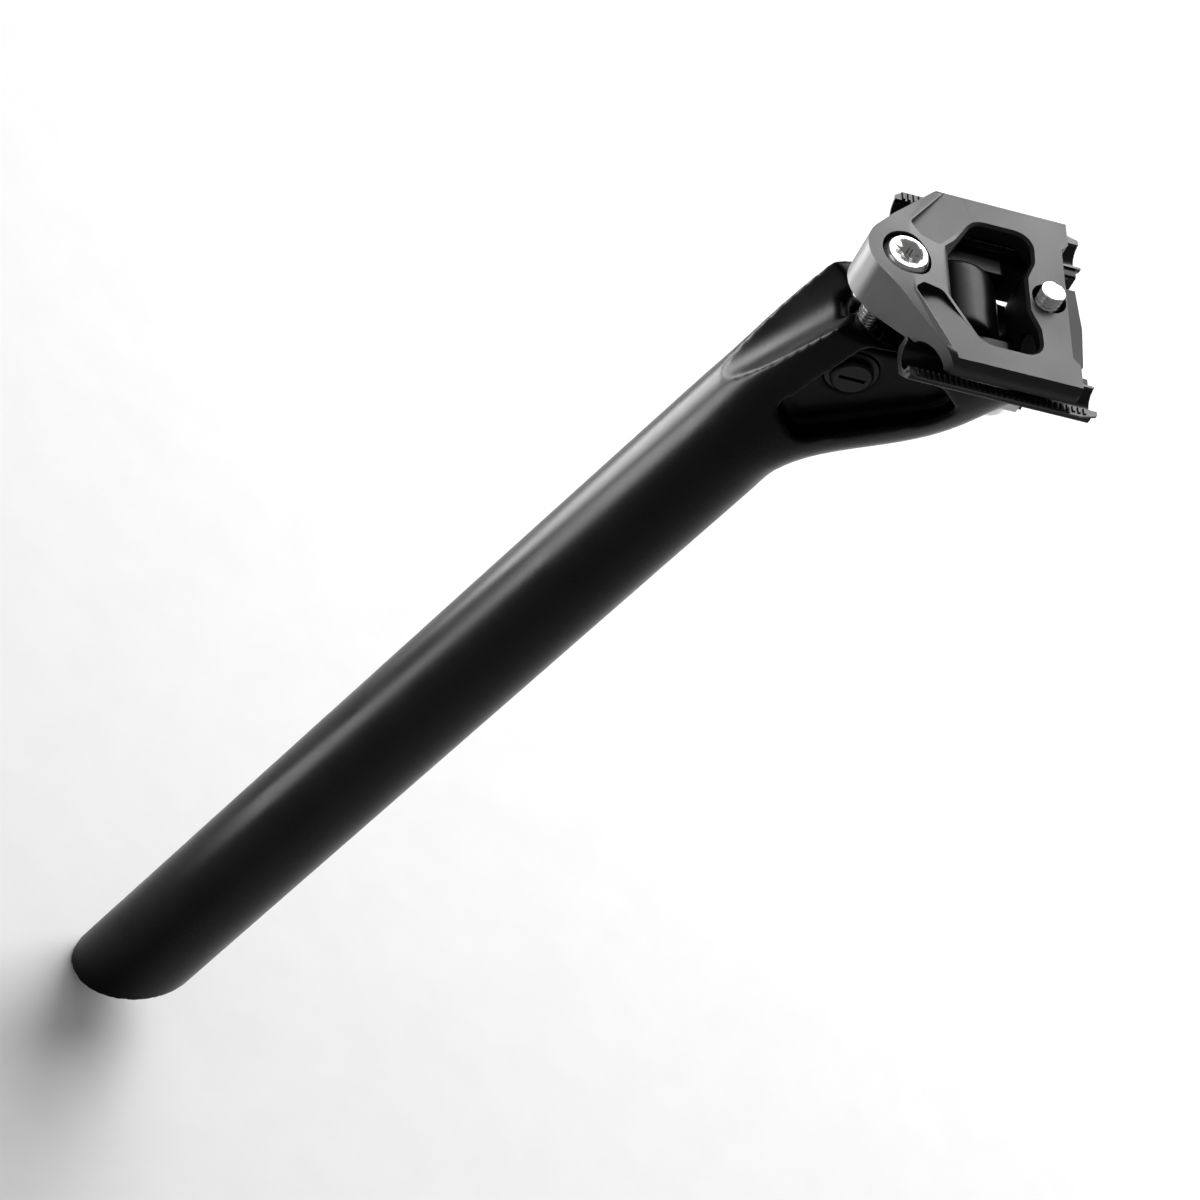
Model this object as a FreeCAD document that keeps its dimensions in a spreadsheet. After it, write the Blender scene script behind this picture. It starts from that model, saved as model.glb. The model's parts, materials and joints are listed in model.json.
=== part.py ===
import FreeCAD, Part
import math
import os
from FreeCAD import Placement, Rotation, Vector

# Bicycle seatpost with a two-bolt saddle clamp.
# Frame: +Z up along the tube, +X towards the rear wheel, +Y to the rider's right.
# The origin is on the tube's axis, at its lowest complete cross-section.
# Clamp pieces are drawn in the head frame: its origin is the tilt axis, its x axis runs
# rearwards along the saddle rails, its y axis is the tilt axis and its z axis is the clamp's normal.

os.makedirs("parts", exist_ok=True)
doc = FreeCAD.newDocument("seatpost")

SIZES = {
    # tube and head, in the part frame
    "tube_radius": 13.6,
    "tube_wall": 2.3,
    "tube_overhang": 21.0,
    "tube_straight": 240.0,
    "cut_slope_deg": 36.6,
    "bore_top": 226.0,
    "lean_slope": 0.7236,
    "lean_start": 249.5,
    "pivot_x": 18.0,
    "pivot_z": 304.0,
    "head_tilt_deg": 15.4,
    "scoop_radius": 15.0,
    # head, in the head frame
    "barrel_radius": 10.8,
    "barrel_width": 20.0,
    "shoulder_radius": 6.0,
    "shoulder_width": 29.6,
    "bolt_spacing": 36.0,
    "front_nut_drop": 15.5,
    "rear_rocker_drop": 15.6,
    "rear_nut_rise": 8.3,
    # saddle rails
    "rail_radius": 3.5,
    "rail_spacing": 44.0,
    "rail_rise": 8.5,
    # fasteners
    "bolt_radius": 3.0,
    "bolt_hole_radius": 4.4,
    "bolt_length": 35.0,
    "screw_head_radius": 5.6,
    "screw_head_rise": 4.0,
    "socket_radius": 2.15,
    "rear_hole_gap": 1.25,
    "nut_clearance": 0.6,
    "dome_rise": 4.5,
    "dome_radius": 6.6,
    "cup_radius": 6.95,
    "front_nut_radius": 5.0,
    "front_nut_length": 20.0,
    "rear_nut_radius": 4.5,
    "rear_nut_length": 17.0,
    "rocker_radius": 5.5,
    "rocker_length": 13.0,
    # clamp plates
    "plate_top": 14.3,
    "boss_top": 17.6,
    "boss_bottom": 5.6,
    "wing_bottom": 10.0,
    "half_width": 26.5,
    "boss_radius": 9.6,
    "counterbore_radius": 6.2,
    "counterbore_floor": 11.4,
    "cradle_top": 8.0,
    "cradle_bottom": 2.0,
    "cradle_front": -15.0,
    "cradle_rear": 29.0,
    "liner_wall": 0.6,
    "running_gap": 0.05,
}

sheet = doc.addObject("Spreadsheet::Sheet", "Sizes")
for row, (alias, value) in enumerate(SIZES.items(), start=1):
    sheet.set(f"A{row}", alias)
    sheet.set(f"B{row}", str(value))
    sheet.setAlias(f"B{row}", alias)
doc.recompute()


def size(alias):
    return float(sheet.get(alias))


def linked(text):
    """An expression in which every size name is a cell of the sheet."""
    for alias in sorted(SIZES, key=len, reverse=True):
        text = text.replace(f"<{alias}>", f"Sizes.{alias}")
    return text


HEAD = Placement(
    Vector(size("pivot_x"), 0, size("pivot_z")),
    Rotation(Vector(0, 1, 0), -size("head_tilt_deg")),
)
BOLT_U = size("bolt_spacing") / 2
ACROSS = Rotation(Vector(1, 0, 0), -90)      # turns a cylinder's axis to +Y
ALONG = Rotation(Vector(0, 1, 0), 90)        # turns a cylinder's axis to +X
SIDE_VIEW = Rotation(Vector(1, 0, 0), 90)    # sketch x to +X, sketch y to +Z, normal to -Y
END_VIEW = Rotation(Vector(1, 1, 1), 120)    # sketch x to +Y, sketch y to +Z, normal to +X
PLAN_VIEW = Rotation()


# ---------------------------------------------------------------- drawing helpers

def rounded_loop(corners):
    """Lines and tangent arcs round a closed outline of (x, y, radius) corners."""
    count = len(corners)
    starts, ends, arcs = [], [], []
    for index in range(count):
        before = Vector(*corners[index - 1][:2], 0)
        here = Vector(*corners[index][:2], 0)
        after = Vector(*corners[(index + 1) % count][:2], 0)
        radius = corners[index][2]
        back = (before - here).normalize()
        ahead = (after - here).normalize()
        half = math.acos(max(-1, min(1, back.dot(ahead)))) / 2
        if radius <= 0:
            starts.append(here)
            ends.append(here)
            arcs.append(None)
            continue
        reach = radius / math.tan(half)
        first = here + back * reach
        last = here + ahead * reach
        middle_way = (back + ahead).normalize()
        middle = here + middle_way * (radius / math.sin(half) - radius)
        starts.append(first)
        ends.append(last)
        arcs.append(Part.Arc(first, middle, last))
    shapes = []
    for index in range(count):
        if arcs[index] is not None:
            shapes.append(arcs[index])
        here = ends[index]
        there = starts[(index + 1) % count]
        if (there - here).Length > 1e-6:
            shapes.append(Part.LineSegment(here, there))
    return shapes


def mirrored(points):
    """A half outline with y >= 0, closed by its mirror image across y = 0."""
    other = [(x, -y, radius) for x, y, radius in reversed(points) if abs(y) > 1e-9]
    return points + other


def prism(name, loops, view, place, length, symmetric=False):
    """A sketch of closed loops, extruded along its own normal by a linked length."""
    sketch = doc.addObject("Sketcher::SketchObject", name + "_sketch")
    for loop in loops:
        sketch.addGeometry(loop, False)
    sketch.Placement = place * Placement(Vector(), view)
    solid = doc.addObject("Part::Extrusion", name)
    solid.Base = sketch
    solid.DirMode = "Normal"
    solid.setExpression("LengthFwd", linked(length))
    solid.Solid = True
    solid.Symmetric = symmetric
    return solid


def shifted(u=0.0, v=0.0, w=0.0, turn=None, base=HEAD):
    return base * Placement(Vector(u, v, w), turn or Rotation())


def cylinder(name, radius, length, place):
    rod = doc.addObject("Part::Cylinder", name)
    rod.setExpression("Radius", linked(radius))
    rod.setExpression("Height", linked(length))
    rod.Placement = place
    return rod


def cross_cylinder(name, radius, length, u, w):
    """A cylinder across the head, centred on y = 0."""
    rod = cylinder(name, radius, length, Placement())
    doc.recompute()
    rod.Placement = shifted(u, -rod.Height.Value / 2, w, ACROSS)
    return rod


def box(name, low, high, base=HEAD):
    block = doc.addObject("Part::Box", name)
    block.Length = high[0] - low[0]
    block.Width = high[1] - low[1]
    block.Height = high[2] - low[2]
    block.Placement = base * Placement(Vector(*low), Rotation())
    return block


def fuse(name, pieces):
    joined = doc.addObject("Part::MultiFuse", name)
    joined.Shapes = pieces
    joined.Refine = True
    return joined


def common(name, pieces):
    shared = doc.addObject("Part::MultiCommon", name)
    shared.Shapes = pieces
    return shared


def cut(name, base, tool):
    left = doc.addObject("Part::Cut", name)
    left.Base = base
    left.Tool = tool
    left.Refine = True
    return left


def edges_where(shape, test):
    """Numbers of the edges whose middle point and tangent, in the head frame, pass a test."""
    inverse = HEAD.inverse()
    found = []
    for number, edge in enumerate(shape.Edges, start=1):
        halfway = (edge.FirstParameter + edge.LastParameter) / 2
        point = inverse.multVec(edge.valueAt(halfway))
        tangent = inverse.Rotation.multVec(edge.tangentAt(halfway))
        if test(point, tangent, edge):
            found.append(number)
    return found


def softened(name, base, kind, amount, test):
    """The base with its chosen edges filleted or chamfered, or the base where none is found."""
    doc.recompute()
    numbers = edges_where(base.Shape, test)
    if not numbers:
        raise RuntimeError("no edge found for " + name)
    dressed = doc.addObject("Part::" + kind, name)
    dressed.Base = base
    dressed.Edges = [(number, amount, amount) for number in numbers]
    return dressed


def part_body(name):
    return doc.addObject("PartDesign::Body", name)


def body_plane(body, role):
    return next(item for item in body.Origin.OriginFeatures if item.Role == role)


def body_sketch(body, name, role, offset=0.0):
    sketch = body.newObject("Sketcher::SketchObject", name)
    sketch.AttachmentSupport = [(body_plane(body, role), "")]
    sketch.MapMode = "FlatFace"
    sketch.AttachmentOffset = Placement(Vector(0, 0, offset), Rotation())
    return sketch


def ball_arc(line, centre_height, radius):
    """An arc of a sphere about a point on the axis, between the two ends of a line."""
    ends = [line.StartPoint, line.EndPoint]
    x = (ends[0].x + ends[1].x) / 2
    height = centre_height - math.sqrt(radius * radius - x * x)
    return Part.Arc(ends[0], Vector(x, height, 0), ends[1])


def revolved_body(name, corners, ball=None):
    """A body turned about its own Z axis from a half profile of (radius, height, fillet) corners.

    ball is the number of a line that becomes an arc, the height of its centre, and its radius."""
    body = part_body(name)
    sketch = body_sketch(body, name + "_profile", "XZ_Plane")
    profile = rounded_loop(corners)
    if ball:
        number, centre_height, radius = ball
        profile[number] = ball_arc(profile[number], centre_height, radius)
    sketch.addGeometry(profile, False)
    turned = body.newObject("PartDesign::Revolution", name + "_turned")
    turned.Profile = sketch
    turned.ReferenceAxis = (body_plane(body, "Z_Axis"), [""])
    turned.Angle = 360
    doc.recompute()
    return body


FINISHED = []


def finish(node, name, place=None):
    """Names an object as a finished sub-part."""
    node.Label = name
    if place is not None:
        node.Placement = place
    FINISHED.append((name, node))
    return node


# ---------------------------------------------------------------- post

def neck_section(level, front, rear, squareness):
    """A closed curve round the neck: 2 gives an ellipse, and more gives a squarer outline."""
    middle = (rear + front) / 2
    half_depth = (rear - front) / 2
    points = []
    for step in range(40):
        turn = 2 * math.pi * step / 40
        x, y = math.cos(turn), math.sin(turn)
        reach = (abs(x) ** squareness + abs(y) ** squareness) ** (-1 / squareness)
        points.append(Vector(middle + half_depth * reach * x, size("tube_radius") * reach * y, level))
    curve = Part.BSplineCurve()
    curve.interpolate(Points=points, PeriodicFlag=True)
    ring = doc.addObject("Part::Feature", f"neck_section_{int(level)}")
    ring.Shape = Part.Wire([curve.toShape()])
    return ring


def neck_solid():
    """The leaning neck: round at the tube, then deeper and squarer as it grows rearwards."""
    radius = size("tube_radius")
    start = size("lean_start")
    slope = size("lean_slope")
    levels = [size("tube_straight"), start - 3, start + 4, start + 18, start + 34, start + 56]
    rears = [radius, radius, radius + 4 * slope * 0.72]
    rears += [radius + (level - start) * slope for level in levels[3:]]
    squareness = [2.0, 2.0, 2.05, 2.3, 2.8, 3.2]
    neck = doc.addObject("Part::Loft", "neck_outer")
    neck.Sections = [neck_section(z, -radius, x, n) for z, x, n in zip(levels, rears, squareness)]
    neck.Solid = True
    neck.Ruled = False
    return neck


def tube_solid():
    place = Placement(Vector(0, 0, -size("tube_overhang")), Rotation())
    return cylinder("tube_outer", "<tube_radius>", "<tube_straight> + <tube_overhang>", place)


def tube_cuts():
    """The bore and the slanting cut of the tube's lower end."""
    below = Placement(Vector(0, 0, -30), Rotation())
    bore = cylinder("tube_bore", "<tube_radius> - <tube_wall>", "<bore_top> + 30", below)
    radius = size("tube_radius")
    rise = math.tan(math.radians(size("cut_slope_deg"))) * radius
    rear = -0.4
    reach = 4 * radius
    slope = rise / radius
    corners = [
        (radius, rear, 0), (radius + reach, rear + reach * slope, 0),
        (radius + reach, -90, 0), (-radius - reach, -90, 0),
        (-radius - reach, rear - (2 * radius + reach) * slope, 0),
    ]
    loop = rounded_loop(corners)
    wedge = prism("tube_end_cut", [loop], SIDE_VIEW, Placement(), "4 * <tube_radius>", True)
    return [bore, wedge]


def head_top_cut():
    """What is missing above the head, drawn in the head frame from the side."""
    corners = [
        (-60, -0.3, 0), (-13, -0.3, 0.6), (-12, -2.8, 1.5), (12, -2.8, 3),
        (30, -5.2, 0), (80, -5.2, 0), (80, 60, 0), (-60, 60, 0),
    ]
    return prism("head_top_cut", [rounded_loop(corners)], SIDE_VIEW, HEAD, "6 * <tube_radius>", True)


def head_rear_cut():
    """What is missing behind the arm's rear end, which is square to the rails."""
    corners = [(27.8, 40, 0), (27.8, -60, 0), (90, -60, 0), (90, 40, 0)]
    return prism("head_rear_cut", [rounded_loop(corners)], SIDE_VIEW, HEAD, "6 * <tube_radius>", True)


def front_scoop():
    """The concave scoop on the neck's front, which leans back towards the front bolt."""
    low = Vector(-14.6, 0, 256.0)
    high = Vector(-4.0, 0, 299.0)
    way = (high - low).normalize()
    outward = Vector(-way.z, 0, way.x)
    turn = Rotation(Vector(0, 0, 1), way)
    start = low + outward * size("scoop_radius") - way * 20
    return cylinder("front_scoop", "<scoop_radius>", "4 * <tube_radius> + 30", Placement(start, turn))


def front_cavity():
    """The open cavity in front of the barrel, the notch in its front wall, and the bolt's hole."""
    outline = [(-9.2, 10.9, 2), (-17.5, 10.9, 5), (-22.2, 6.0, 3)]
    cavity = prism("front_cavity", [rounded_loop(mirrored(outline))], PLAN_VIEW, shifted(w=-7.0), "12")
    notch_outline = [(-18.0, 3.6, 0), (-34.0, 3.6, 0)]
    notch = prism("front_notch", [rounded_loop(mirrored(notch_outline))], PLAN_VIEW, shifted(w=-4.2), "12")
    hole = cylinder("front_bolt_hole", "<bolt_hole_radius>", "26", shifted(-BOLT_U, 0, -26.0))
    return [cavity, notch, hole]


def side_pockets():
    """The hollow on each side of the neck, which leaves a web in the middle."""
    web = 8.0
    corners = [
        (-4.6, 268.0, 4), (5.0, 263.4, 3), (26.5, 285.5, 0.8), (29.6, 291.5, 3),
        (21.0, 296.0, 6), (12.0, 296.6, 5), (6.0, 299.6, 3), (-1.0, 296.6, 5),
    ]
    pockets = []
    for side, name in ((1, "side_pocket_right"), (-1, "side_pocket_left")):
        place = Placement(Vector(0, side * web, 0), Rotation())
        if side > 0:
            place = Placement(Vector(0, web + 30, 0), Rotation())
        pockets.append(prism(name, [rounded_loop(corners)], SIDE_VIEW, place, "30"))
    return pockets


def rear_seat_cut():
    """The rocker's groove in the arm, its pocket from below, and the rear bolt's hole."""
    deep = -size("rear_rocker_drop")
    groove = cross_cylinder(
        "rocker_groove", "<rocker_radius> + <liner_wall> + <running_gap>", "<rocker_length> + 0.4",
        BOLT_U, deep,
    )
    half = size("rocker_radius") + size("liner_wall") + size("running_gap")
    width = size("rocker_length") / 2 + 0.2
    channel = box("rocker_channel", (BOLT_U - half, -width, deep - 30), (BOLT_U + half, width, deep))
    hole = cylinder("rear_bolt_hole", "<bolt_hole_radius>", "40", shifted(BOLT_U, 0, -30.0))
    return [groove, channel, hole]


def front_nut_bore():
    """The bore for the front barrel nut, and a wider seat for a bushing at each end."""
    drop = -size("front_nut_drop")
    bore = cross_cylinder(
        "front_nut_bore", "<front_nut_radius> + <running_gap>", "<front_nut_length> + 6", -BOLT_U, drop,
    )
    ends = []
    for side in (1, -1):
        place = shifted(-BOLT_U, side * 8.0 - 2.0, drop, ACROSS)
        ends.append(cylinder(f"bushing_seat_{side}", "<front_nut_radius> + 1.25", "4", place))
    return [bore] + ends


def make_post():
    outer = fuse("post_outer", [tube_solid(), neck_solid()])
    shaped = cut("post_shaped", outer, fuse("post_outer_cuts", [head_top_cut(), head_rear_cut()]))
    scooped = cut("post_scooped", shaped, front_scoop())
    barrel = cross_cylinder("head_barrel", "<barrel_radius>", "<barrel_width>", 0, 0)
    end = size("barrel_width") / 2
    rounded = softened(
        "head_barrel_rounded", barrel, "Fillet", 1.4, lambda p, t, e: abs(abs(p.y) - end) < 0.01,
    )
    shoulders = cross_cylinder("head_shoulders", "<shoulder_radius>", "<shoulder_width>", 0, 0)
    pocketed = cut("post_pocketed", scooped, fuse("post_pockets", side_pockets() + front_cavity()))
    joined = fuse("post_joined", [pocketed, rounded, shoulders])
    bored = cut("post_body", joined, fuse("post_bores", tube_cuts() + rear_seat_cut() + front_nut_bore()))
    return finish(bored, "post_body")


def make_front_nut_bushings():
    """A thin moulded ring at each end of the front barrel nut's bore."""
    rings = []
    for side in (1, -1):
        place = shifted(-BOLT_U, side * 8.0 - (2.0 if side > 0 else 0.0), -size("front_nut_drop"), ACROSS)
        outer = cylinder(f"bushing_outer_{side}", "<front_nut_radius> + 1.2", "2", place)
        inner = cylinder(f"bushing_inner_{side}", "<front_nut_radius> + <running_gap>", "2", place)
        rings.append(cut(f"bushing_{side}", outer, inner))
    pair = doc.addObject("Part::Compound", "front_nut_bushings")
    pair.Links = rings
    return finish(pair, "front_nut_bushings")


# ---------------------------------------------------------------- lower cradle

def make_lower_cradle():
    """Two rail troughs joined by a rear bridge, with a web each side that sits on the head."""
    top = size("cradle_top")
    low = size("cradle_bottom")
    half = size("half_width")
    front = size("cradle_front")
    rear = size("cradle_rear")
    rail_y = size("rail_spacing") / 2
    trough_half = [
        (15.3, low + 1.2, 1), (17.5, low, 1), (22.2, low, 2), (half + 0.6, low + 4.0, 1),
        (half + 0.6, top, 0.3), (15.3, top, 0.6),
    ]
    troughs = []
    for side in (1, -1):
        corners = [(side * y, z, radius) for y, z, radius in trough_half]
        troughs.append(prism(
            f"trough_{side}", [rounded_loop(corners)], END_VIEW, shifted(u=front),
            "<cradle_rear> - <cradle_front>",
        ))
    webs = []
    for side in (1, -1):
        outer = max(side * 10.35, side * 15.6)
        corners = [
            (-11.5, top, 2), (-11.5, 4.0, 2), (-9.2, 0.6, 1),
            (9.2, 0.6, 1), (11.5, 4.0, 2), (11.5, top, 2),
        ]
        place = shifted(v=outer)
        webs.append(prism(f"saddle_web_{side}", [rounded_loop(corners)], SIDE_VIEW, place, "5.25"))
    outline = [
        (rear - 4.6, 0, 0), (rear - 5.2, 8.0, 0), (rear - 7.5, 15.6, 0),
        (rear - 2.0, 15.6, 0), (rear - 0.4, 12.0, 1), (rear + 0.4, 0, 0),
    ]
    bridge = prism(
        "rear_bridge", [rounded_loop(mirrored(outline))], PLAN_VIEW, shifted(w=low + 0.4),
        "<cradle_top> - <cradle_bottom> - 0.9",
    )
    lips = []
    for side in (1, -1):
        inner, outer = sorted((side * 15.4, side * 17.5))
        lip_top = size("wing_bottom") - 0.45
        lips.append(box(f"inner_lip_{side}", (-0.5, inner, top - 1), (rear - 5.0, outer, lip_top)))
        skirt = [
            (7.0, top - 0.5, 0), (7.0, -1.0, 0), (11.0, -3.5, 2), (20.0, -3.5, 3), (rear - 5.5, 1.5, 2),
            (rear - 5.5, top - 0.5, 0),
        ]
        place = shifted(v=15.6 if side > 0 else -13.95)
        lips.append(prism(f"side_skirt_{side}", [rounded_loop(skirt)], SIDE_VIEW, place, "1.65"))
    solid = fuse("cradle_solid", troughs + webs + lips + [bridge])
    grooves = []
    for side in (1, -1):
        place = shifted(front - 1, side * rail_y, size("rail_rise"), ALONG)
        grooves.append(cylinder(f"cradle_groove_{side}", "<rail_radius> + <liner_wall>", "60", place))
    bearing = cross_cylinder(
        "cradle_bearing", "<shoulder_radius> + <running_gap> + <liner_wall>", "31.4", 0, 0,
    )
    notches = []
    for side in (1, -1):
        inner, outer = sorted((side * 11.6, side * 14.9))
        low_corner, high_corner = (rear - 4.5, inner, top - 3.0), (rear + 2, outer, top + 1)
        notches.append(box(f"bridge_notch_{side}", low_corner, high_corner))
    shaped = cut("cradle_cut", solid, fuse("cradle_cuts", grooves + [bearing] + notches))
    finish(shaped, "lower_cradle")


def make_cradle_liners():
    """A thin half shell between each side of the head and the cradle's web."""
    for side, name in ((-1, "cradle_liner_left"), (1, "cradle_liner_right")):
        inner, outer = sorted((side * 10.5, side * 14.6))
        place = shifted(0, inner, 0, ACROSS)
        shell = cylinder(name + "_outer", "<shoulder_radius> + <running_gap> + <liner_wall>", "4.1", place)
        hollow = cylinder(name + "_inner", "<shoulder_radius> + <running_gap>", "4.1", place)
        ring = cut(name + "_ring", shell, hollow)
        lower = box(name + "_lower", (-20, inner - 1, -20), (20, outer + 1, 1.2))
        finish(cut(name, ring, lower), name)


def make_rail_liners():
    """A ribbed strip in each trough: a half shell round the rail, with a flat lip outwards."""
    rail_y = size("rail_spacing") / 2
    wall = size("liner_wall")
    rise = size("rail_rise")
    front = size("cradle_front") - 0.6
    rear = size("cradle_rear") + 1.2
    for side, name in ((-1, "rail_liner_left"), (1, "rail_liner_right")):
        place = shifted(front, side * rail_y, rise, ALONG)
        length = "<cradle_rear> - <cradle_front> + 1.8"
        shell = cylinder(name + "_shell", "<rail_radius> + <liner_wall>", length, place)
        edge = side * (size("half_width") + 1.6)
        inner = side * (rail_y + size("rail_radius") - 0.3)
        lip_outline = [
            (front, inner, 0), (front, edge - side * 1.4, 0), (front + 2.1, edge, 0.6),
            (rear - 4.2, edge, 2), (rear, edge - side * 1.2, 0.5), (rear, inner, 0),
        ]
        level = shifted(w=size("cradle_top"))
        lip = prism(name + "_lip", [rounded_loop(lip_outline)], PLAN_VIEW, level, "<liner_wall>")
        low, high = (-40, side * rail_y - 8, rise), (60, side * rail_y + 8, rise + 12)
        above = box(name + "_above", low, high)
        shell_low = cut(name + "_half", shell, above)
        joined = fuse(name + "_joined", [shell_low, lip])
        place = shifted(front - 10, side * rail_y, rise, ALONG)
        rail = cylinder(name + "_rail", "<rail_radius>", "80", place)
        finish(cut(name, joined, rail), name)


# ---------------------------------------------------------------- top clamp plate

def plate_outline():
    """The plate seen from above: a round front boss, two slanting arms and two rail wings."""
    half = size("half_width")
    radius = size("boss_radius")
    corner = Vector(-6.6, half, 0)
    boss = Vector(-BOLT_U, 0, 0)
    away = boss - corner
    reach = away.Length
    swing = math.asin(radius / reach)
    way = math.atan2(away.y, away.x)
    tangent_way = way - swing
    tangent_length = math.sqrt(reach * reach - radius * radius)
    touch = corner + Vector(math.cos(tangent_way), math.sin(tangent_way), 0) * tangent_length
    nose = Vector(-BOLT_U - radius, 0, 0)
    mirror_touch = Vector(touch.x, -touch.y, 0)
    side = [(corner.x, half, 3.0), (24.3, half, 1.2), (24.3, 18.4, 0.8), (22.5, 16.6, 0.8)]
    path = [(touch.x, touch.y, 0)] + side
    full = path + [(x, -y, r) for x, y, r in reversed(path)]
    shapes = rounded_loop(full)
    shapes = [item for item in shapes if not closing_line(item, touch, mirror_touch)]
    shapes.append(Part.Arc(mirror_touch, nose, touch))
    return shapes


def closing_line(item, one, two):
    """Whether an item is the straight line between the boss's two tangent points."""
    if not isinstance(item, Part.LineSegment):
        return False
    ends = {round(item.StartPoint.y, 4), round(item.EndPoint.y, 4)}
    return ends == {round(one.y, 4), round(two.y, 4)}


def make_top_clamp_plate():
    """The plate over the rails: its outline, side profile and section cut to one body, then holes."""
    top = size("plate_top")
    half = size("half_width")
    wing = size("wing_bottom")
    boss_top = size("boss_top")
    boss_low = size("boss_bottom")
    side_corners = [
        (26, wing, 0), (26, top, 0), (-4.2, top, 8), (-16.6, boss_top, 8), (-29, boss_top, 0),
        (-29, boss_low, 0), (-14.5, boss_low, 6), (-3.6, wing, 6),
    ]
    profile = prism("plate_profile", [rounded_loop(side_corners)], SIDE_VIEW, HEAD, "2 * <half_width>", True)
    outline = prism("plate_outline", [plate_outline()], PLAN_VIEW, shifted(w=0), "30")
    section_corners = [(half, 0, 0), (half, top + 0.3, 4.2), (9.0, boss_top + 0.4, 0)]
    section_corners += [(-x, z, r) for x, z, r in reversed(section_corners)]
    section = prism("plate_section", [rounded_loop(section_corners)], END_VIEW, shifted(u=-40), "90")
    underside = [
        (9.0, 0, 0), (9.4, boss_low, 2), (19.0, wing - 1.0, 3), (half + 1, wing, 0), (half + 1, 40, 0),
    ]
    underside += [(-y, z, radius) for y, z, radius in reversed(underside)]
    above = prism("plate_underside", [rounded_loop(underside)], END_VIEW, shifted(u=-40), "90")
    body = common("plate_body", [profile, outline, section, above])
    rear_boss = prism(
        "plate_rear_boss", [rounded_loop(mirrored([(12.3, 9.0, 2), (22.5, 9.0, 0.8)]))], PLAN_VIEW,
        shifted(w=2.6), "<plate_top> - 2.8",
    )
    solid = fuse("plate_solid", [body, rear_boss])
    window_half = [(-6.3, 6.4, 2.2), (0.8, 18.2, 5.0), (15.0, 18.2, 4.0), (14.7, 10.2, 3), (12.5, 5.0, 3)]
    window = prism("plate_window", [rounded_loop(mirrored(window_half))], PLAN_VIEW, shifted(w=-1), "30")
    recesses = []
    for side in (1, -1):
        corners = [
            (-16.9, side * 10.0, 1.2), (-14.4, side * 7.2, 1.6), (-9.0, side * 6.9, 2.2),
            (0.6, side * 18.6, 0), (-3.0, side * 30.0, 0), (-5.6, side * 25.6, 0),
        ]
        level = shifted(w=top - 0.02)
        recesses.append(prism(f"plate_recess_{side}", [rounded_loop(corners)], PLAN_VIEW, level, "12"))
    floor = shifted(-BOLT_U, 0, size("counterbore_floor"))
    nut_bore = "<rear_nut_radius> + <running_gap>"
    holes = [
        cylinder("plate_front_hole", "<bolt_hole_radius>", "30", shifted(-BOLT_U, 0, -1)),
        cylinder("plate_counterbore", "<counterbore_radius>", "20", floor),
        cylinder("plate_rear_hole", "<bolt_radius> + <rear_hole_gap>", "30", shifted(BOLT_U, 0, -1)),
        cross_cylinder("plate_barrel_clearance", "<barrel_radius> + 0.4", "24", 0, 0),
        cross_cylinder("plate_nut_bore", nut_bore, "30", BOLT_U, size("rear_nut_rise")),
    ]
    for side in (1, -1):
        place = shifted(-40, side * size("rail_spacing") / 2, size("rail_rise"), ALONG)
        holes.append(cylinder(f"plate_groove_{side}", "<rail_radius>", "90", place))
    edge = shifted(w=top - 0.7)
    flare = prism("plate_window_flare", [rounded_loop(mirrored(window_half))], PLAN_VIEW, edge, "2.5")
    flare.TaperAngle = 45
    relief = []
    for side in (1, -1):
        inner, outer = sorted((side * 10.2, side * (half + 1)))
        low, high = (size("cradle_front") - 0.6, inner, -1), (40, outer, wing - 1.05)
        relief.append(box(f"plate_relief_{side}", low, high))
    cutters = [window, flare] + recesses + holes + relief
    finish(cut("plate_cut", solid, fuse("plate_cuts", cutters)), "top_clamp_plate")


# ---------------------------------------------------------------- fasteners

def lobed_loop(radius, depth, lobes=6):
    """A six-lobed drive recess from arcs that bulge in and out in turn."""
    shapes = []
    inner = radius - depth
    step = 2 * math.pi / lobes

    def at(distance, angle):
        return Vector(distance * math.cos(angle), distance * math.sin(angle), 0)

    middle = (radius + inner) / 2
    for lobe in range(lobes):
        turn = lobe * step
        first = at(middle, turn - step * 0.22)
        peak = at(radius, turn)
        last = at(middle, turn + step * 0.22)
        dip = at(inner, turn + step / 2)
        following = at(middle, turn + step * 0.78)
        shapes.append(Part.Arc(first, peak, last))
        shapes.append(Part.Arc(last, dip, following))
    return shapes


def make_bolt(name, place):
    """A pan-headed screw: its bearing face is at z = 0 and its shank runs along -Z."""
    radius = size("bolt_radius")
    head = size("screw_head_radius")
    rise = size("screw_head_rise")
    length = size("bolt_length")
    corners = [
        (0, rise, 0), (head - 0.9, rise, 0.4), (head, rise - 1.4, 0.8), (head, 0, 0.2), (radius, 0, 0),
        (radius, -length + 0.5, 0), (radius - 0.5, -length, 0), (0, -length, 0),
    ]
    body = revolved_body(name, corners)
    recess = body_sketch(body, name + "_recess", "XY_Plane", rise)
    recess.addGeometry(lobed_loop(size("socket_radius"), 0.5), False)
    socket = body.newObject("PartDesign::Pocket", name + "_socket")
    socket.Profile = recess
    socket.Length = 2.4
    doc.recompute()
    return finish(body, name, place)


def make_thread_patch(name, place, low, high):
    """A thin sleeve of locking compound round the thread."""
    start = place * Placement(Vector(0, 0, low), Rotation())
    sleeve = cylinder(name + "_outer", "<bolt_radius> + 0.12", str(high - low), start)
    shank = cylinder(name + "_inner", "<bolt_radius>", str(high - low), start)
    return finish(cut(name, sleeve, shank), name)


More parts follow.
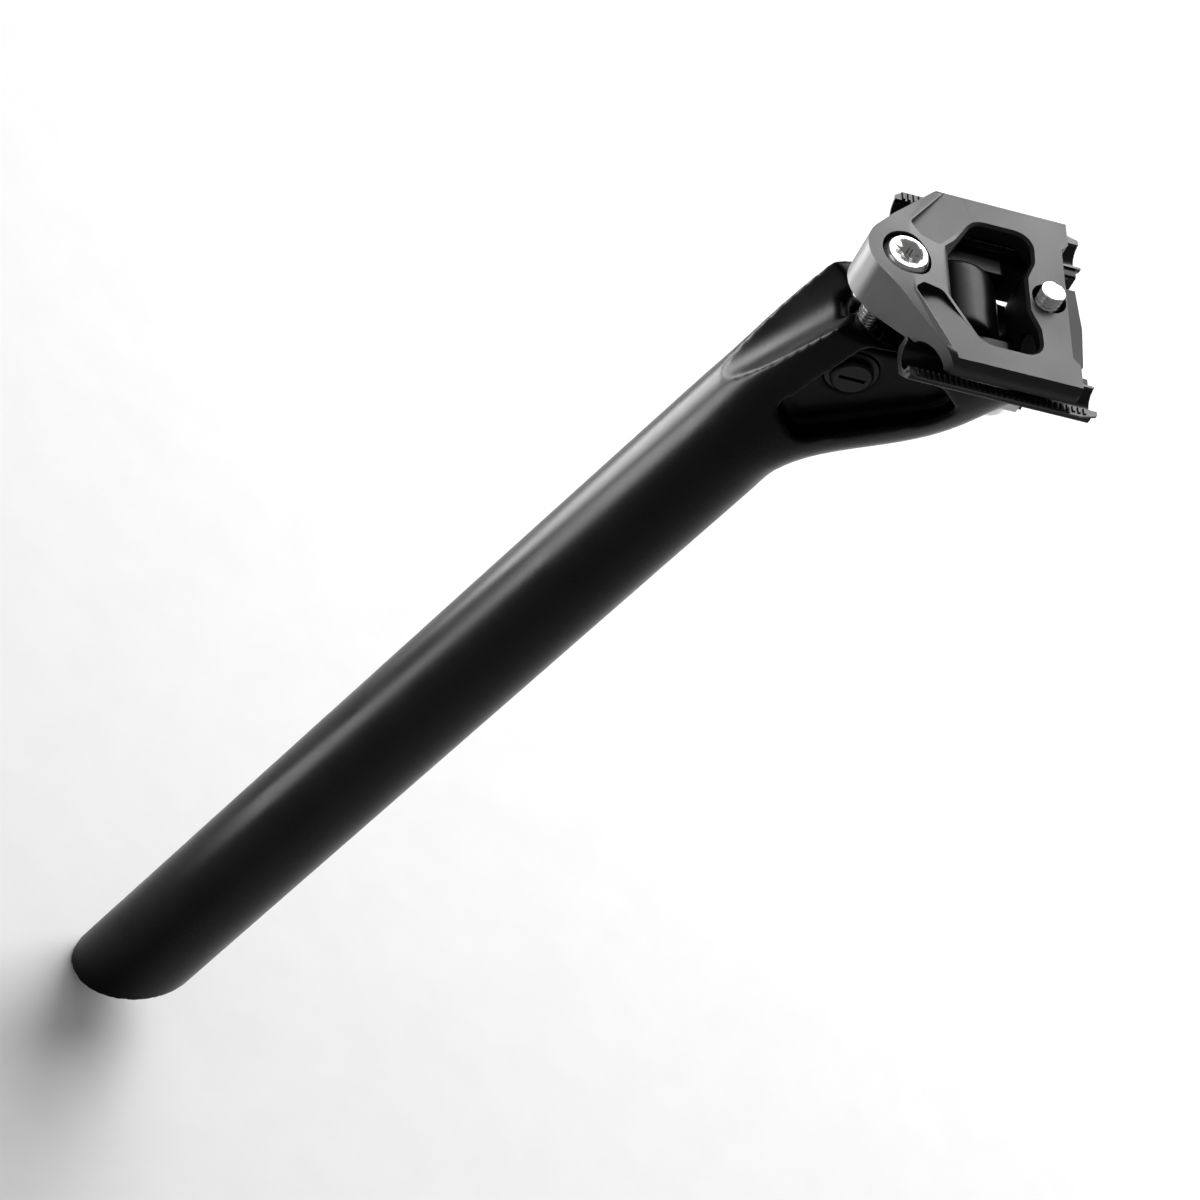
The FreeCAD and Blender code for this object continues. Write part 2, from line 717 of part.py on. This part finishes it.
def make_barrel_nut(name, end, u, w):
    """A cross pin with a hole for the bolt through its middle and a slot in one end."""
    pin = cross_cylinder(name + "_pin", f"<{end}_nut_radius>", f"<{end}_nut_length>", u, w)
    edge = size(f"{end}_nut_length") / 2
    eased = softened(
        name + "_eased", pin, "Chamfer", 0.6, lambda p, t, e: abs(abs(p.y) - edge) < 0.01,
    )
    through = cylinder(name + "_hole", "<bolt_radius> + <nut_clearance>", "30", shifted(u, 0, w - 15))
    slot = box(name + "_slot", (u - 3.2, -edge - 1, w - 0.5), (u + 3.2, -edge + 1.2, w + 0.5))
    return finish(cut(name, eased, fuse(name + "_cuts", [through, slot])), name)


def ball_height(radius, x, centre_height):
    return centre_height - math.sqrt(radius * radius - x * x)


def make_front_washers():
    """A hardened ring with a hollow ball seat, and the domed washer that rocks in it."""
    floor = size("counterbore_floor")
    outer = size("counterbore_radius") - size("running_gap")
    rise = size("dome_rise")
    dome = size("dome_radius")
    cup = size("cup_radius")
    cup_rise = rise + 1.5
    ring = [(outer, 0, 0), (outer, 1.5, 0), (5.3, ball_height(cup, 5.3, cup_rise), 0)]
    ring += [(4.15, ball_height(cup, 4.15, cup_rise), 0), (4.15, 0, 0)]
    body = revolved_body("front_seat_ring", ring, (2, cup_rise, cup))
    finish(body, "front_seat_ring", shifted(-BOLT_U, 0, floor))
    washer = [
        (3.25, -1.05, 0), (4.0, ball_height(dome, 4.0, rise), 0),
        (5.05, ball_height(dome, 5.05, rise), 0), (5.05, 0.9, 0), (3.25, 0.9, 0),
    ]
    body = revolved_body("front_domed_washer", washer, (1, rise, dome))
    finish(body, "front_domed_washer", shifted(-BOLT_U, 0, floor + 1.5))


def make_rear_rocker():
    """A half-round rocker under the arm, with a shell of liner above it and a washer below it."""
    drop = size("rear_rocker_drop")
    edge = size("rocker_length") / 2
    rod = cross_cylinder("rocker_rod", "<rocker_radius>", "<rocker_length>", BOLT_U, -drop)
    below = box("rocker_below", (BOLT_U - 10, -edge - 1, -drop - 12), (BOLT_U + 10, edge + 1, -drop - 1.2))
    hole = cylinder("rocker_hole", "<bolt_radius> + 0.25", "30", shifted(BOLT_U, 0, -drop - 15))
    finish(cut("rear_rocker", rod, fuse("rocker_cuts", [below, hole])), "rear_rocker")
    hollow = "<rocker_radius> + <running_gap>"
    outer = cross_cylinder("rocker_liner_outer", hollow + " + <liner_wall>", "<rocker_length>", BOLT_U, -drop)
    inner = cross_cylinder("rocker_liner_inner", hollow, "<rocker_length> + 2", BOLT_U, -drop)
    low, high = (BOLT_U - 10, -edge - 1, -drop - 12), (BOLT_U + 10, edge + 1, -drop)
    lower = box("rocker_liner_lower", low, high)
    gap = cylinder("rocker_liner_hole", "<bolt_hole_radius>", "30", shifted(BOLT_U, 0, -drop))
    liner = cut("rear_rocker_liner", outer, fuse("rocker_liner_cuts", [inner, lower, gap]))
    finish(liner, "rear_rocker_liner")
    profile = [(3.2, -1.2, 0.1), (5.6, -1.2, 0.2), (5.6, 0, 0.2), (3.2, 0, 0.1)]
    washer = revolved_body("rear_washer", profile)
    finish(washer, "rear_washer", shifted(BOLT_U, 0, -drop - 1.2))


def make_nut_plugs():
    """Two moulded plugs that close the ends of the rear nut's bore in the plate."""
    start = size("rear_nut_length") / 2 + 0.1
    plugs = []
    for side in (1, -1):
        low = start if side > 0 else -9.0
        place = shifted(BOLT_U, low, size("rear_nut_rise"), ACROSS)
        radius = "<rear_nut_radius> + <running_gap>"
        plugs.append(cylinder(f"nut_plug_{side}", radius, "9.0 - <rear_nut_length> / 2 - 0.1", place))
    pair = doc.addObject("Part::Compound", "rear_nut_plugs")
    pair.Links = plugs
    return finish(pair, "rear_nut_plugs")


def make_fasteners():
    """The two screws, which face each other, with their nuts, washers, rocker and plugs."""
    front_bearing = size("counterbore_floor") + 2.4
    front_place = shifted(-BOLT_U, 0, front_bearing)
    rear_bearing = -size("rear_rocker_drop") - 2.4
    rear_place = shifted(BOLT_U, 0, rear_bearing, Rotation(Vector(1, 0, 0), 180))
    make_bolt("front_bolt", front_place)
    make_bolt("rear_bolt", rear_place)
    make_thread_patch("front_thread_patch", front_place, -33.5, -31.0)
    make_thread_patch("rear_thread_patch", rear_place, -18.5, -14.5)
    make_barrel_nut("front_barrel_nut", "front", -BOLT_U, -size("front_nut_drop"))
    make_barrel_nut("rear_barrel_nut", "rear", BOLT_U, size("rear_nut_rise"))
    make_front_washers()
    make_rear_rocker()
    make_nut_plugs()


# ---------------------------------------------------------------- checks and export

def check_and_export():
    """Stops on a failed feature or a bad shape, and writes a STEP file for each sub-part."""
    doc.recompute()
    failed = [item.Name for item in doc.Objects if "Invalid" in item.State or "Error" in item.State]
    if failed:
        raise RuntimeError("failed objects: " + ", ".join(failed))
    for name, node in FINISHED:
        shape = node.Shape
        if shape.isNull() or not shape.isValid():
            raise RuntimeError("bad shape: " + name)
        solids = len(shape.Solids)
        bounds = shape.BoundBox
        print(f"{name}: {solids} solid, {shape.Volume:.0f} mm3, z {bounds.ZMin:.1f} to {bounds.ZMax:.1f}")
        shape.exportStep(f"parts/{name}.step")


make_post()
make_front_nut_bushings()
make_lower_cradle()
make_cradle_liners()
make_rail_liners()
make_top_clamp_plate()
make_fasteners()
check_and_export()
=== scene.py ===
import json
import math

import bmesh
import bpy
from mathutils import Matrix, Vector


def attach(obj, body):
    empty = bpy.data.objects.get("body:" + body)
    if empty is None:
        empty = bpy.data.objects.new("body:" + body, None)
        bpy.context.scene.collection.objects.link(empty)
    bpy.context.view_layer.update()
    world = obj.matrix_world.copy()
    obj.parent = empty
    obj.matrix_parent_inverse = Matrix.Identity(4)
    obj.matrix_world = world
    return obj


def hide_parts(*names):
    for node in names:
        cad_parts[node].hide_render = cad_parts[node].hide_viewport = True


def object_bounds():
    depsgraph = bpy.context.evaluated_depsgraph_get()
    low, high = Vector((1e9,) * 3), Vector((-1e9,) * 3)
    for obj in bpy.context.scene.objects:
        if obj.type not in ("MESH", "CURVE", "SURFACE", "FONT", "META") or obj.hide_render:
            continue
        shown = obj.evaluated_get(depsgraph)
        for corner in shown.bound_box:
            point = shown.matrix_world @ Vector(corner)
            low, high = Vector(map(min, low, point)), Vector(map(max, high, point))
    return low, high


# The seatpost's looks. Lengths are in metres, in the part's own frame: +Z up along the tube,
# +X to the rear, +Y to the rider's right. Values named in millimetres are multiplied by MM.

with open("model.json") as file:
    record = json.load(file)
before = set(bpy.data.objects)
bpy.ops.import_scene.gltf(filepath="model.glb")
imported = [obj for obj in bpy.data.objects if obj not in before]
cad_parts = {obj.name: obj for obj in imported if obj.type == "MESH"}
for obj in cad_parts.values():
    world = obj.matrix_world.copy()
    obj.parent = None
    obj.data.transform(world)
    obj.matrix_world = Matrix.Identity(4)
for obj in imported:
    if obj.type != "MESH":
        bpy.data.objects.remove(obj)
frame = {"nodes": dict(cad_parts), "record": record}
CAD_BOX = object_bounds()
NODES = frame["nodes"]
RECORD = frame["record"]
SLOT_OF = {row["node"]: row["material_slot"] for row in RECORD["subparts"]}
BODY_OF = {node: body for body, nodes in RECORD["behaviour"]["bodies"].items() for node in nodes}
MOUNTS = {row["name"]: row for row in RECORD["mounts"]}
JOINTS = {row["name"]: row for row in RECORD["behaviour"]["joints"]}
MM = 0.001

# Head frame: origin on the tilt axis, U rearwards along the rails, N the clamp's normal.
PIVOT = Vector(JOINTS["saddle_tilt"]["pos_m"])
TILT = math.radians(15.4)
U_AXIS = Vector((math.cos(TILT), 0, math.sin(TILT)))
V_AXIS = Vector((0, 1, 0))
N_AXIS = Vector((-math.sin(TILT), 0, math.cos(TILT)))
HEAD = Matrix.Translation(PIVOT) @ Matrix((U_AXIS, V_AXIS, N_AXIS)).transposed().to_4x4()

# The screws: each one's own origin is under its head, with its shank along -Z.
SCREW_U = 18.0
FRONT_SEAT = 13.8
REAR_SEAT = -18.0
THREAD_RADIUS = 2.96
THREAD_DEPTH = 0.56
THREAD_PITCH = 1.0
THREAD_START = -8.1
THREAD_END = -35.0
PLAIN_SHANK_END = -8.6
SOCKET_RADIUS = 2.3
SOCKET_FLOOR = 0.5
SOCKET_RIM = 3.95


def at_head(u, v, w):
    """A point of the head frame, given in millimetres."""
    return HEAD @ (Vector((u, v, w)) * MM)


# ---------------------------------------------------------------- materials

def shader(name, color, roughness, metallic=0.0, specular=0.5):
    """A material and its Principled shader, with the constant values on the shader's own sockets."""
    material = bpy.data.materials.new(name)
    material.use_nodes = True
    principled = material.node_tree.nodes["Principled BSDF"]
    principled.inputs["Base Color"].default_value = (*color, 1)
    principled.inputs["Roughness"].default_value = roughness
    principled.inputs["Metallic"].default_value = metallic
    principled.inputs["Specular IOR Level"].default_value = specular
    return material, principled


def add(material, kind):
    return material.node_tree.nodes.new(kind)


def wire(material, start, end):
    material.node_tree.links.new(start, end)


def noise(material, scale, stretch=(1, 1, 1), detail=3.0, rough=0.55):
    """A noise factor in the part's own coordinates, stretched by a mapping."""
    place = add(material, "ShaderNodeTexCoord")
    mapping = add(material, "ShaderNodeMapping")
    mapping.inputs["Scale"].default_value = stretch
    texture = add(material, "ShaderNodeTexNoise")
    texture.inputs["Scale"].default_value = scale
    texture.inputs["Detail"].default_value = detail
    texture.inputs["Roughness"].default_value = rough
    wire(material, place.outputs["Object"], mapping.inputs["Vector"])
    wire(material, mapping.outputs["Vector"], texture.inputs["Vector"])
    return texture.outputs["Fac"]


def spread(material, source, low, high):
    """The middle of a noise factor's range turned into values between low and high."""
    ranged = add(material, "ShaderNodeMapRange")
    for key, value in (("From Min", 0.3), ("From Max", 0.7), ("To Min", low), ("To Max", high)):
        ranged.inputs[key].default_value = value
    wire(material, source, ranged.inputs["Value"])
    return ranged.outputs["Result"]


def tinted(material, source, dark, light):
    """The middle of a noise factor's range turned into colours between dark and light."""
    ramp = add(material, "ShaderNodeValToRGB")
    for element, position, color in zip(ramp.color_ramp.elements, (0.35, 0.65), (dark, light)):
        element.position = position
        element.color = (*color, 1)
    wire(material, source, ramp.inputs["Fac"])
    return ramp.outputs["Color"]


def bumped(material, principled, source, strength, distance):
    bump = add(material, "ShaderNodeBump")
    bump.inputs["Strength"].default_value = strength
    bump.inputs["Distance"].default_value = distance
    wire(material, source, bump.inputs["Height"])
    wire(material, bump.outputs["Normal"], principled.inputs["Normal"])


def anodised(name, dark, light, roughness, grain, specular, strength):
    """Blasted and anodised aluminium: a fine grain, with slow changes of tone and gloss."""
    material, principled = shader(name, light, roughness, 0.0, specular)
    fine = noise(material, grain, detail=2.0, rough=0.6)
    slow = noise(material, 38.0, detail=4.0, rough=0.6)
    wire(material, tinted(material, slow, dark, light), principled.inputs["Base Color"])
    gloss = spread(material, slow, roughness - 0.05, roughness + 0.06)
    wire(material, gloss, principled.inputs["Roughness"])
    bumped(material, principled, fine, strength, 0.00004)
    return material


def steel(name, color, roughness, stretch):
    """Turned or brushed steel, with its scratches along one way."""
    material, principled = shader(name, color, roughness, 1.0)
    lines = noise(material, 900.0, stretch, 3.0, 0.7)
    gloss = spread(material, lines, roughness - 0.07, roughness + 0.1)
    wire(material, gloss, principled.inputs["Roughness"])
    bumped(material, principled, lines, 0.3, 0.00003)
    return material


def moulded(name, dark, light, roughness):
    """Moulded polymer with a fine pebbled face."""
    material, principled = shader(name, light, roughness, 0.0, 0.4)
    pebble = noise(material, 1400.0, detail=2.0, rough=0.5)
    wire(material, tinted(material, pebble, dark, light), principled.inputs["Base Color"])
    bumped(material, principled, pebble, 0.4, 0.00005)
    return material


LOOKS = {
    "post_anodised": anodised(
        "post_satin_black", (0.001, 0.001, 0.0012), (0.0022, 0.0022, 0.0025), 0.29, 2600.0, 0.09, 0.25,
    ),
    "clamp_anodised": anodised(
        "clamp_satin_grey", (0.011, 0.0112, 0.012), (0.017, 0.0172, 0.018), 0.4, 3200.0, 0.42, 0.6,
    ),
    # The clamp's bevels: a lighter, glossier copy of the clamp's look, which paints a highlight along
    # its edges.
    "clamp_edge_highlight": anodised(
        "clamp_painted_edge_highlight", (0.03, 0.03, 0.032), (0.05, 0.05, 0.053), 0.3, 3200.0, 0.7, 0.2,
    ),
    "cradle_anodised": anodised(
        "cradle_black", (0.003, 0.003, 0.0033), (0.005, 0.005, 0.0055), 0.38, 3000.0, 0.16, 0.5,
    ),
    "ribbed_strip": anodised(
        "ribbed_strip_black", (0.005, 0.005, 0.0055), (0.012, 0.012, 0.013), 0.27, 2400.0, 0.35, 0.3,
    ),
    "bright_steel": steel("screw_bright_steel", (0.72, 0.72, 0.71), 0.2, (1, 1, 1)),
    "nut_steel": steel("nut_satin_steel", (0.5, 0.5, 0.5), 0.3, (1, 0.1, 1)),
    "dark_steel": steel("seat_dark_steel", (0.022, 0.022, 0.023), 0.34, (1, 1, 0.2)),
    "socket_dark": steel("socket_shadowed_steel", (0.03, 0.03, 0.031), 0.45, (1, 1, 0.3)),
    "polymer": moulded("liner_moulded_black", (0.006, 0.006, 0.006), (0.012, 0.012, 0.012), 0.55),
    "locking_patch": moulded("thread_locking_blue", (0.01, 0.05, 0.22), (0.02, 0.09, 0.35), 0.5),
}


# ---------------------------------------------------------------- piece helpers

def new_piece(name, mesh, slot, node, extra=()):
    """A finished piece with its materials, which rides on a CAD node's body and replaces it."""
    mesh.materials.clear()
    for look in (slot, *extra):
        mesh.materials.append(LOOKS[look])
    piece = bpy.data.objects.new(name, mesh)
    bpy.context.scene.collection.objects.link(piece)
    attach(piece, BODY_OF[node])
    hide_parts(node)


def modified(mesh, kind, **settings):
    """A copy of a mesh after one modifier."""
    helper = bpy.data.objects.new("helper", mesh)
    bpy.context.scene.collection.objects.link(helper)
    modifier = helper.modifiers.new("step", kind)
    for key, value in settings.items():
        setattr(modifier, key, value)
    graph = bpy.context.evaluated_depsgraph_get()
    result = bpy.data.meshes.new_from_object(helper.evaluated_get(graph))
    bpy.data.objects.remove(helper)
    return result


def clean_copy(node):
    """A copy of a CAD node's mesh with its vertices welded and its flat faces merged."""
    mesh = NODES[node].data.copy()
    work = bmesh.new()
    work.from_mesh(mesh)
    bmesh.ops.remove_doubles(work, verts=work.verts, dist=1e-6)
    bmesh.ops.dissolve_limit(
        work, angle_limit=math.radians(1.0), verts=work.verts, edges=work.edges, delimit={"NORMAL"},
    )
    work.to_mesh(mesh)
    work.free()
    return mesh


def smooth(mesh, angle):
    """Smooth shading that keeps the edges sharper than an angle in degrees."""
    for polygon in mesh.polygons:
        polygon.use_smooth = True
    mesh.set_sharp_from_angle(angle=math.radians(angle))
    return mesh


def bevelled(node, name, width, slot, edge_slot=None):
    """A CAD node with its hard edges bevelled; the bevel may take its own look, such as a lighter
    colour that paints a highlight on the edges.
    """
    mesh = clean_copy(node)
    looks = (slot, edge_slot or slot)
    mesh.materials.clear()
    for look in looks:
        mesh.materials.append(LOOKS[look])
    mesh = modified(
        mesh, "BEVEL", width=width * MM, segments=2, limit_method="ANGLE",
        angle_limit=math.radians(32.0), miter_outer="MITER_ARC", material=1 if edge_slot else -1,
    )
    mesh = modified(smooth(mesh, 40.0), "WEIGHTED_NORMAL", weight=80, keep_sharp=True)
    new_piece(name, mesh, slot, node, (edge_slot,) if edge_slot else ())


# ---------------------------------------------------------------- post

def make_post():
    """The forging, with every change of section flowing into the next, and a true round tube."""
    outside = MOUNTS["seat_tube_pin"]["dims"]["r_mm"] * MM
    inside = MOUNTS["tube_bore"]["dims"]["r_mm"] * MM
    round_up_to, blend, reach = 0.236, 0.016, 0.0005
    mesh = modified(NODES["post_body"].data.copy(), "REMESH", mode="VOXEL", voxel_size=0.0005)
    work = bmesh.new()
    work.from_mesh(mesh)
    for _ in range(13):
        bmesh.ops.smooth_vert(
            work, verts=work.verts, factor=0.5, use_axis_x=True, use_axis_y=True, use_axis_z=True,
        )
    for vertex in work.verts:
        flat = Vector((vertex.co.x, vertex.co.y, 0))
        if flat.length < 1e-5 or vertex.co.z > round_up_to + blend:
            continue
        weight = min(1.0, (round_up_to + blend - vertex.co.z) / blend)
        for radius in (outside, inside):
            if abs(flat.length - radius) < reach:
                moved = flat * (radius / flat.length)
                vertex.co.x += (moved.x - vertex.co.x) * weight
                vertex.co.y += (moved.y - vertex.co.y) * weight
    work.to_mesh(mesh)
    work.free()
    new_piece("post_forging", smooth(mesh, 60.0), "post_anodised", "post_body")


# ---------------------------------------------------------------- threads and ribs

def threaded_shank(work, place):
    """A helical thread along a screw's own -Z, which fades out at both ends."""
    columns, rows_per_turn, end_step = 56, 10, 0.55
    rows = int((THREAD_START - THREAD_END) / THREAD_PITCH * rows_per_turn) + 1
    rings = []
    for row in range(rows):
        height = THREAD_START + (THREAD_END - THREAD_START) * row / (rows - 1)
        run_in = (THREAD_START - height) / THREAD_PITCH / 0.8
        run_out = (height - THREAD_END) / THREAD_PITCH / 0.5 + 0.15
        depth = THREAD_DEPTH * min(1.0, run_in, run_out)
        ring = []
        for column in range(columns):
            turn = 2 * math.pi * column / columns
            phase = (height / THREAD_PITCH - column / columns) % 1.0
            reach = THREAD_RADIUS - depth * min(1.0, abs(phase - 0.5) * 2.6)
            if row == rows - 1:
                reach = THREAD_RADIUS - end_step
            spot = Vector((reach * math.cos(turn), reach * math.sin(turn), height))
            ring.append(work.verts.new(place @ (spot * MM)))
        rings.append(ring)
    for lower, upper in zip(rings, rings[1:]):
        for column in range(columns):
            after = (column + 1) % columns
            work.faces.new((lower[column], lower[after], upper[after], upper[column]))
    work.faces.new(rings[-1])
    work.faces.new(list(reversed(rings[0])))


def make_screw(node, name, place):
    """The CAD screw's head, a shank with a real thread, and a dark recess."""
    mesh = NODES[node].data.copy()
    work = bmesh.new()
    work.from_mesh(mesh)
    bmesh.ops.remove_doubles(work, verts=work.verts, dist=1e-6)
    cut_at = place @ (Vector((0, 0, PLAIN_SHANK_END)) * MM)
    along = (place.to_3x3() @ Vector((0, 0, 1))).normalized()
    geometry = list(work.verts) + list(work.edges) + list(work.faces)
    bmesh.ops.bisect_plane(work, geom=geometry, plane_co=cut_at, plane_no=along, clear_inner=True)
    threaded_shank(work, place)
    bmesh.ops.recalc_face_normals(work, faces=work.faces)
    back = place.inverted()
    for face in work.faces:
        spot = back @ face.calc_center_median() / MM
        in_socket = math.hypot(spot.x, spot.y) < SOCKET_RADIUS and SOCKET_FLOOR < spot.z < SOCKET_RIM
        face.material_index = 1 if in_socket else 0
    work.to_mesh(mesh)
    work.free()
    new_piece(name, smooth(mesh, 32.0), "bright_steel", node, ("socket_dark",))


def make_ribbed_strip(node, name, side):
    """The rail strip, with close ribs across its outer lip."""
    mesh = clean_copy(node)
    work = bmesh.new()
    work.from_mesh(mesh)
    half_foot, half_crest, pitch, first, last = 0.55, 0.22, 1.35, -14.2, 28.6
    foot, crest, inner, full_outer, short_outer, short_ribs = 8.55, 8.95, 25.7, 27.9, 27.3, 3
    count = int((last - first) / pitch)
    for number in range(count):
        u = first + pitch * (number + 0.5)
        outer = full_outer if number < count - short_ribs else short_outer
        corners = []
        for half, near, far, w in (
            (half_foot, inner, outer, foot), (half_crest, inner + 0.1, outer - 0.15, crest),
        ):
            for du, v in ((-half, near), (half, near), (half, far), (-half, far)):
                corners.append(work.verts.new(at_head(u + du, side * v, w)))
        for loop in ((0, 1, 5, 4), (1, 2, 6, 5), (2, 3, 7, 6), (3, 0, 4, 7), (4, 5, 6, 7)):
            face = [corners[index] for index in loop]
            work.faces.new(face if side > 0 else list(reversed(face)))
    work.to_mesh(mesh)
    work.free()
    new_piece(name, smooth(mesh, 30.0), "ribbed_strip", node)


# ---------------------------------------------------------------- stage, lights and camera

def make_stage():
    """A plain pale floor just under the post's lower end."""
    mesh = bpy.data.meshes.new("floor")
    level = CAD_BOX[0][2] - 0.0003
    reach = 6.0
    corners = [
        (-reach, -reach, level), (reach, -reach, level), (reach, reach, level), (-reach, reach, level),
    ]
    mesh.from_pydata(corners, [], [(0, 1, 2, 3)])
    floor = bpy.data.objects.new("floor", mesh)
    bpy.context.scene.collection.objects.link(floor)
    material, principled = shader("floor_pale", (0.9, 0.9, 0.9), 0.8, 0.0, 0.1)
    paper = tinted(material, noise(material, 60.0), (0.88, 0.88, 0.88), (0.9, 0.9, 0.9))
    wire(material, paper, principled.inputs["Base Color"])
    mesh.materials.append(material)


def area_light(name, place, target, wide, high, power, spread_deg=180.0):
    """A rectangular light in watts that faces a target and that the camera doesn't see."""
    data = bpy.data.lights.new(name, "AREA")
    data.shape = "RECTANGLE"
    data.size = wide
    data.size_y = high
    data.energy = power
    data.spread = math.radians(spread_deg)
    light = bpy.data.objects.new(name, data)
    light.location = place
    way = Vector(target) - Vector(place)
    light.rotation_euler = way.to_track_quat("-Z", "Y").to_euler()
    light.visible_camera = False
    bpy.context.scene.collection.objects.link(light)


def low_light(name, x, y, wide, high, power):
    """A light just above the floor that faces up, for a highlight on an upright face."""
    area_light(name, (x, y, -0.018), (x, y, 1.0), wide, high, power)


def make_lights():
    """A soft studio: an even world, a wash on the floor, and low lights for the highlights."""
    world = bpy.data.worlds.new("studio")
    world.use_nodes = True
    background = world.node_tree.nodes["Background"]
    background.inputs["Color"].default_value = (1, 1, 1, 1)
    background.inputs["Strength"].default_value = 0.18
    bpy.context.scene.world = world
    bpy.context.scene.view_settings.view_transform = "Standard"
    area_light("floor_wash", (0.75, 1.05, 1.1), (0.30, 0.42, 0.0), 1.3, 0.9, 11.0, 100)
    area_light("top_soft", (0.12, 0.72, 1.10), (0.02, 0.0, 0.30), 0.7, 0.5, 0.9, 90)
    low_light("low_front_left", -0.40, 0.05, 0.26, 0.16, 3.6)
    low_light("low_front_right", -0.24, 0.30, 0.22, 0.24, 3.0)
    low_light("low_far_front", -0.62, 0.55, 0.3, 0.3, 14.0)
    low_light("low_stripe", -0.18, 0.03, 0.18, 0.06, 0.35)
    area_light("front_side", (-0.9, -0.15, 0.35), (0.0, 0.0, 0.28), 0.5, 0.5, 0.5)
    area_light("rear_rim", (0.55, -0.42, 0.02), (0.02, 0.0, 0.22), 0.10, 0.5, 0.06)


def make_camera():
    """A long lens, above and in front of the left side, rolled so that the tube lies aslant."""
    data = bpy.data.cameras.new("camera")
    data.sensor_width = 36.0
    data.lens = 150.0
    data.clip_start = 0.05
    camera = bpy.data.objects.new("camera", data)
    back = Vector((-0.469, -0.634, 0.615)).normalized()
    right = Vector((0.805, -0.020, 0.593))
    right = (right - back * right.dot(back)).normalized()
    up = back.cross(right)
    turn = Matrix((right, up, back)).transposed().to_4x4()
    camera.matrix_world = Matrix.Translation(Vector((-551.73, -762.21, 918.2)) * MM) @ turn
    bpy.context.scene.collection.objects.link(camera)
    bpy.context.scene.camera = camera


def finish_cad_nodes():
    """Every CAD node in its slot's look, also where a piece replaces it in the picture."""
    for node, item in NODES.items():
        for slot in item.material_slots:
            slot.material = LOOKS[SLOT_OF[node]]


finish_cad_nodes()
make_camera()
make_stage()
make_lights()
make_post()
# The clamp plate's bevels take the lighter edge look, a painted highlight.
bevelled("top_clamp_plate", "clamp_plate", 0.35, "clamp_anodised", "clamp_edge_highlight")
bevelled("lower_cradle", "cradle", 0.2, "cradle_anodised")
bevelled("front_barrel_nut", "front_cross_nut", 0.15, "dark_steel")
bevelled("rear_barrel_nut", "rear_cross_nut", 0.15, "dark_steel")
bevelled("rear_rocker", "rocker", 0.15, "nut_steel")
front_place = Matrix.Translation(Vector((-SCREW_U, 0.0, FRONT_SEAT)) * MM)
rear_place = Matrix.Translation(Vector((SCREW_U, 0.0, REAR_SEAT)) * MM)
make_screw("front_bolt", "front_screw", HEAD @ front_place)
make_screw("rear_bolt", "rear_screw", HEAD @ rear_place @ Matrix.Rotation(math.pi, 4, "X"))
make_ribbed_strip("rail_liner_left", "rail_strip_left", -1)
make_ribbed_strip("rail_liner_right", "rail_strip_right", 1)
